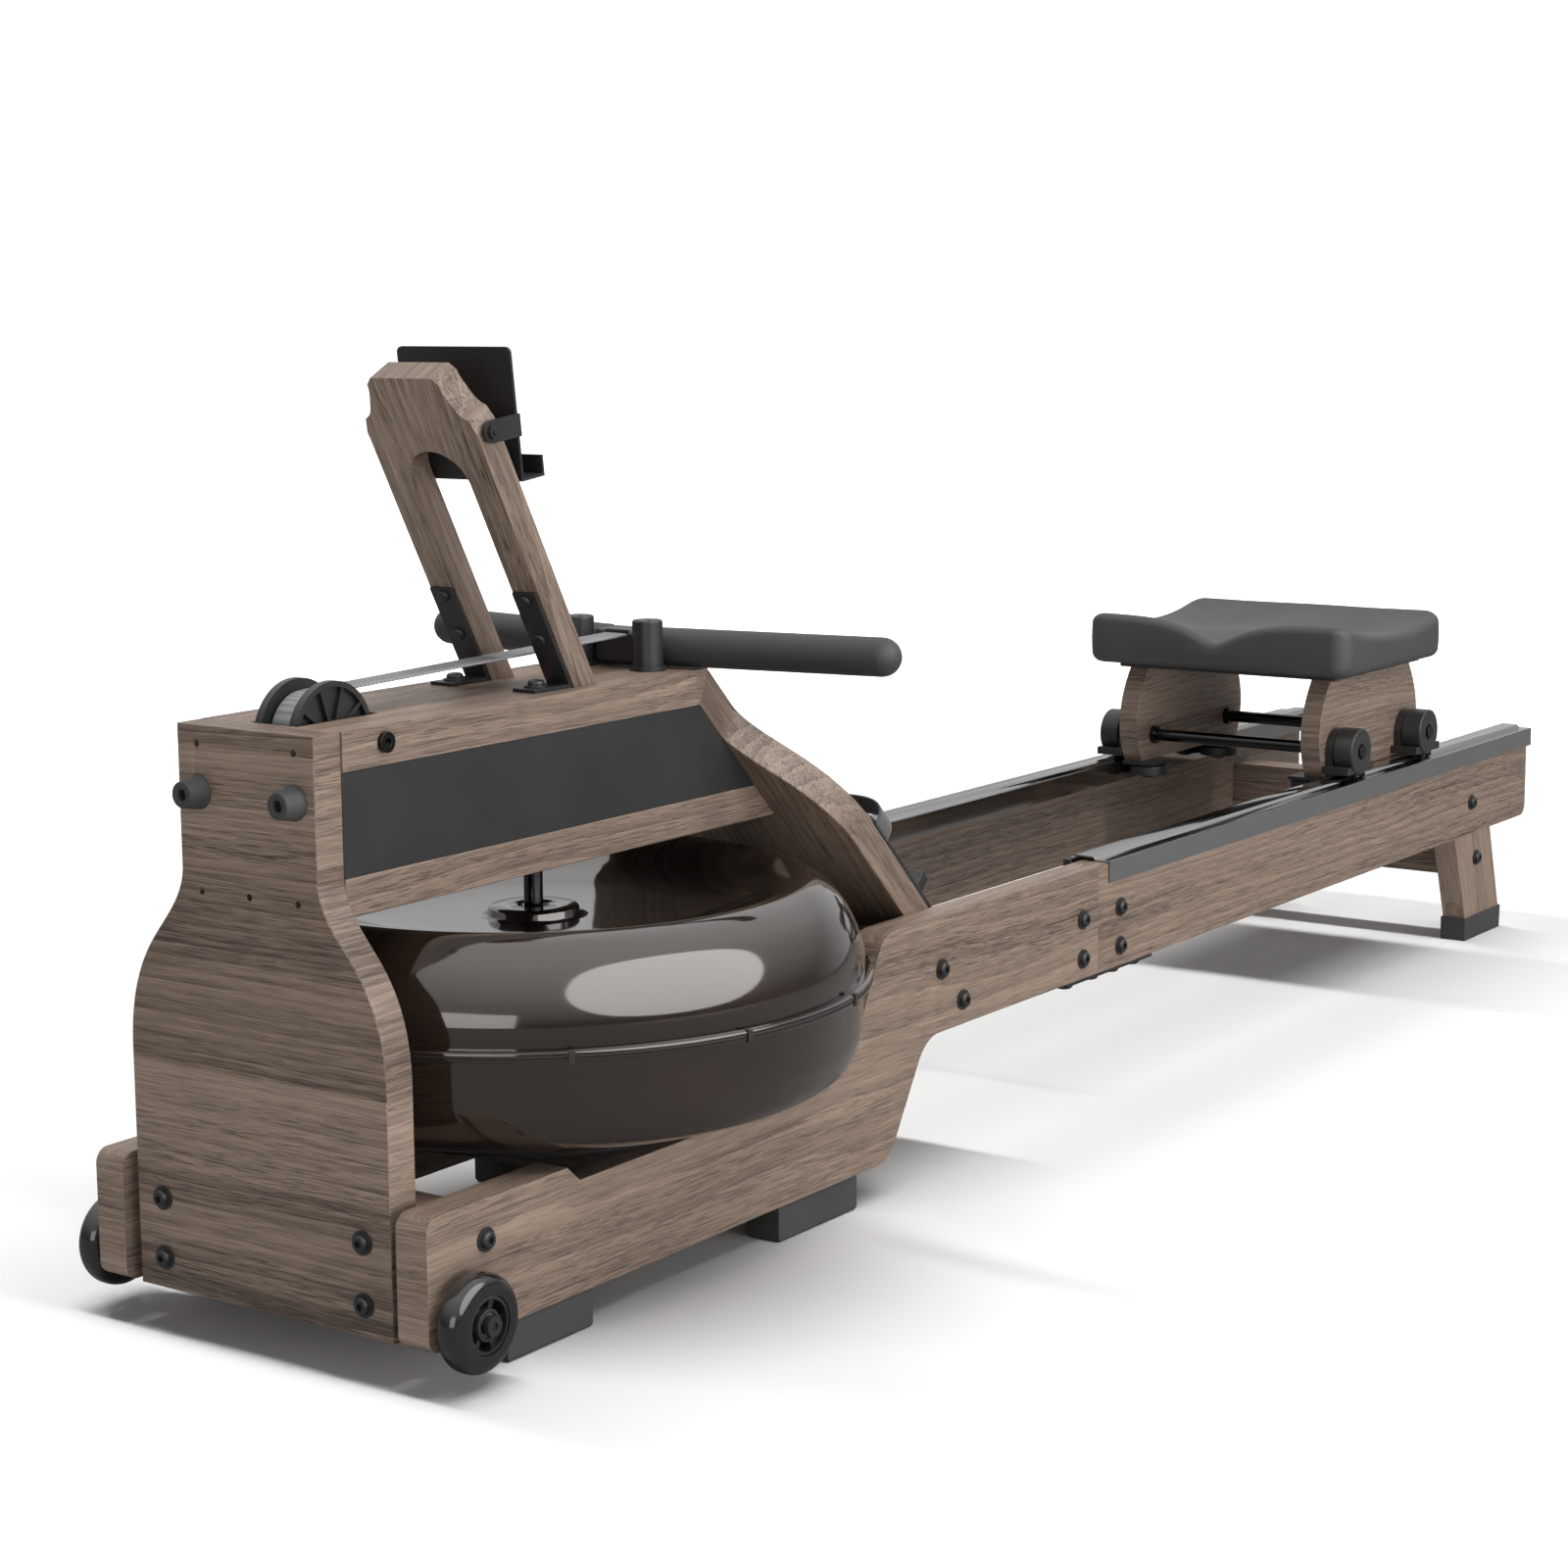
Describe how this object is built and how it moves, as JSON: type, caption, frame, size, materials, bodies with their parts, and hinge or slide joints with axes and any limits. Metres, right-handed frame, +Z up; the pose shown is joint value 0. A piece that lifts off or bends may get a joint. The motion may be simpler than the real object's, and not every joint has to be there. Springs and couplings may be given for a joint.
{
  "type": "rowing machine",
  "caption": "Wooden rowing machine with a water tank, sliding seat, strap-driven handle, slanted footboard, tablet post, folding-away transport wheels.",
  "frame": {"origin": "middle of the footprint, on the floor", "axes": "+X along the rails from the water tank to the seat end, +Y across to the rower's right as they face the tank, +Z up"},
  "size_m": [2.119, 0.566, 0.7564],
  "materials": {
    "wood": "satin, fine dark grain",
    "black_plastic": "moulded, semi-gloss",
    "rubber": "matt",
    "black_steel": "powder coated",
    "steel": "satin",
    "track_metal": "satin grey",
    "tank_plastic": "smoky, polished",
    "water": "liquid",
    "webbing": "ribbed webbing",
    "seat_foam": "matt skin",
    "wheel_plastic": "matt"
  },
  "bodies": {
    "frame": {"bumpers": "rubber", "foot_straps": "webbing", "footboard": "wood", "footplates": "black_plastic", "frame_bolts": "black_steel", "front_crossbars": "wood", "front_panel": "wood", "handle_pegs": "black_plastic", "joint_plates": "black_steel", "post_brackets": "black_steel", "pulley_axle": "steel", "rear_crossbars": "wood", "rear_legs": "wood", "recoil_spring": "steel", "rubber_feet": "rubber", "shaft_bearing": "steel", "side_board_front_left": "wood", "side_board_front_right": "wood", "side_board_rear_left": "wood", "side_board_rear_right": "wood", "side_panels": "black_plastic", "strap_lower": "webbing", "tablet_post": "wood", "tank_clips": "tank_plastic", "tank_cradle": "black_steel", "tank_lower_shell": "tank_plastic", "tank_seal": "rubber", "tank_upper_shell": "tank_plastic", "tank_water": "water", "tower_shelf_board": "wood", "tower_top_board": "wood", "track_end_stops": "rubber", "track_left": "track_metal", "track_right": "track_metal"},
    "seat_carriage": {"seat_cushion": "seat_foam", "seat_base": "black_steel", "seat_side_plates": "wood", "seat_rods": "steel", "carriage_brackets": "black_steel"},
    "handle": {"handle_bar": "steel", "handle_grips": "rubber", "handle_clamp": "black_plastic", "strap_upper": "webbing"},
    "pulley_wheel": {"pulley": "black_plastic"},
    "drum": {"strap_drum": "black_plastic"},
    "rotor": {"drive_shaft": "steel", "impeller": "black_plastic"},
    "wheel_l": {"wheel_left": "wheel_plastic"},
    "wheel_r": {"wheel_right": "wheel_plastic"},
    "tablet_rest": {"tablet_holder": "black_steel"},
    "heel_l": {"heel_rest_left": "black_plastic"},
    "heel_r": {"heel_rest_right": "black_plastic"},
    "track_roller_front_left_wheel": {"track_roller_front_left": "black_plastic"},
    "guide_roller_front_left_wheel": {"guide_roller_front_left": "black_plastic"},
    "track_roller_front_right_wheel": {"track_roller_front_right": "black_plastic"},
    "guide_roller_front_right_wheel": {"guide_roller_front_right": "black_plastic"},
    "track_roller_rear_left_wheel": {"track_roller_rear_left": "black_plastic"},
    "guide_roller_rear_left_wheel": {"guide_roller_rear_left": "black_plastic"},
    "track_roller_rear_right_wheel": {"track_roller_rear_right": "black_plastic"},
    "guide_roller_rear_right_wheel": {"guide_roller_rear_right": "black_plastic"}
  },
  "joints": [
    {"name": "seat_slide", "type": "slide", "parent": "frame", "child": "seat_carriage", "axis": [1, 0, 0], "range_m": [-0.55, 0.235]},
    {"name": "handle_pull", "type": "slide", "parent": "frame", "child": "handle", "axis": [1, 0, 0], "range_m": [0, 1.1], "stiffness_N_per_m": 8, "springref_m": -2},
    {"name": "pulley_spin", "type": "hinge", "parent": "frame", "child": "pulley_wheel", "pos_m": [-0.9675, 0, 0.468], "axis": [0, 1, 0], "continuous": true},
    {"name": "drum_spin", "type": "hinge", "parent": "frame", "child": "drum", "pos_m": [-0.7115, 0, 0.408], "axis": [0, 0, 1], "continuous": true},
    {"name": "rotor_spin", "type": "hinge", "parent": "frame", "child": "rotor", "pos_m": [-0.7115, 0, 0.195], "axis": [0, 0, 1], "continuous": true},
    {"name": "wheel_left_spin", "type": "hinge", "parent": "frame", "child": "wheel_l", "pos_m": [-1.0115, -0.188, 0.052], "axis": [0, 1, 0], "continuous": true},
    {"name": "wheel_right_spin", "type": "hinge", "parent": "frame", "child": "wheel_r", "pos_m": [-1.0115, 0.188, 0.052], "axis": [0, 1, 0], "continuous": true},
    {"name": "tablet_tilt", "type": "hinge", "parent": "frame", "child": "tablet_rest", "pos_m": [-0.82306, 0, 0.69155], "axis": [0, 1, 0], "range_deg": [-42, 1]},
    {"name": "heel_left_slide", "type": "slide", "parent": "frame", "child": "heel_l", "axis": [0.7071, 0, -0.7071], "range_m": [-0.035, 0.035]},
    {"name": "heel_right_slide", "type": "slide", "parent": "frame", "child": "heel_r", "axis": [0.7071, 0, -0.7071], "range_m": [-0.035, 0.035]},
    {"name": "track_roller_front_left_spin", "type": "hinge", "parent": "seat_carriage", "child": "track_roller_front_left_wheel", "pos_m": [0.5715, -0.151, 0.2723], "axis": [0, 1, 0], "continuous": true},
    {"name": "guide_roller_front_left_spin", "type": "hinge", "parent": "seat_carriage", "child": "guide_roller_front_left_wheel", "pos_m": [0.5615, -0.1055, 0.232], "axis": [0, 0, 1], "continuous": true},
    {"name": "track_roller_front_right_spin", "type": "hinge", "parent": "seat_carriage", "child": "track_roller_front_right_wheel", "pos_m": [0.5715, 0.151, 0.2723], "axis": [0, 1, 0], "continuous": true},
    {"name": "guide_roller_front_right_spin", "type": "hinge", "parent": "seat_carriage", "child": "guide_roller_front_right_wheel", "pos_m": [0.5615, 0.1055, 0.232], "axis": [0, 0, 1], "continuous": true},
    {"name": "track_roller_rear_left_spin", "type": "hinge", "parent": "seat_carriage", "child": "track_roller_rear_left_wheel", "pos_m": [0.7615, -0.151, 0.2723], "axis": [0, 1, 0], "continuous": true},
    {"name": "guide_roller_rear_left_spin", "type": "hinge", "parent": "seat_carriage", "child": "guide_roller_rear_left_wheel", "pos_m": [0.7435, -0.1055, 0.232], "axis": [0, 0, 1], "continuous": true},
    {"name": "track_roller_rear_right_spin", "type": "hinge", "parent": "seat_carriage", "child": "track_roller_rear_right_wheel", "pos_m": [0.7615, 0.151, 0.2723], "axis": [0, 1, 0], "continuous": true},
    {"name": "guide_roller_rear_right_spin", "type": "hinge", "parent": "seat_carriage", "child": "guide_roller_rear_right_wheel", "pos_m": [0.7435, 0.1055, 0.232], "axis": [0, 0, 1], "continuous": true}
  ],
  "couplings": [
    {"joint": "pulley_spin", "follows": "handle_pull", "rad_per_m": 30.96},
    {"joint": "drum_spin", "follows": "handle_pull", "rad_per_m": -30.303},
    {"joint": "track_roller_front_left_spin", "follows": "seat_slide", "rad_per_m": 37.736},
    {"joint": "guide_roller_front_left_spin", "follows": "seat_slide", "rad_per_m": -43.103},
    {"joint": "track_roller_front_right_spin", "follows": "seat_slide", "rad_per_m": 37.736},
    {"joint": "guide_roller_front_right_spin", "follows": "seat_slide", "rad_per_m": 43.103},
    {"joint": "track_roller_rear_left_spin", "follows": "seat_slide", "rad_per_m": 37.736},
    {"joint": "guide_roller_rear_left_spin", "follows": "seat_slide", "rad_per_m": -43.103},
    {"joint": "track_roller_rear_right_spin", "follows": "seat_slide", "rad_per_m": 37.736},
    {"joint": "guide_roller_rear_right_spin", "follows": "seat_slide", "rad_per_m": 43.103}
  ]
}
